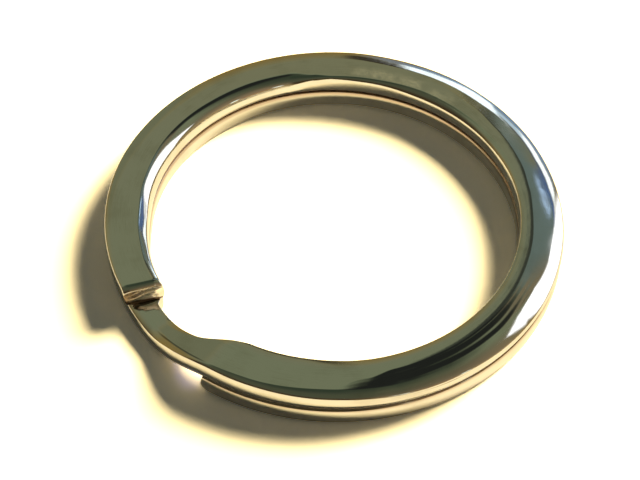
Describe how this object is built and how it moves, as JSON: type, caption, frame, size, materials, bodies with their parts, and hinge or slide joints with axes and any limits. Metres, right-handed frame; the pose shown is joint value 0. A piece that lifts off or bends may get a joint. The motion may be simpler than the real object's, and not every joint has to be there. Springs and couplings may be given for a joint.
{
  "type": "split key ring",
  "caption": "Flat-faced split ring: one spring steel strip wound edgewise into two stacked turns, with an offset crossing between its cut ends.",
  "frame": {"origin": "on the ring's axis, at the lower face that it lies on", "axes": "+Z along the ring's axis, up from the lower face; the crossing lies towards -X and -Y"},
  "size_m": [0.032, 0.032, 0.003],
  "materials": {
    "plated_steel": "bright nickel plate, tumbled and polished"
  },
  "bodies": {
    "root": {"split_ring": "plated_steel"}
  },
  "joints": []
}
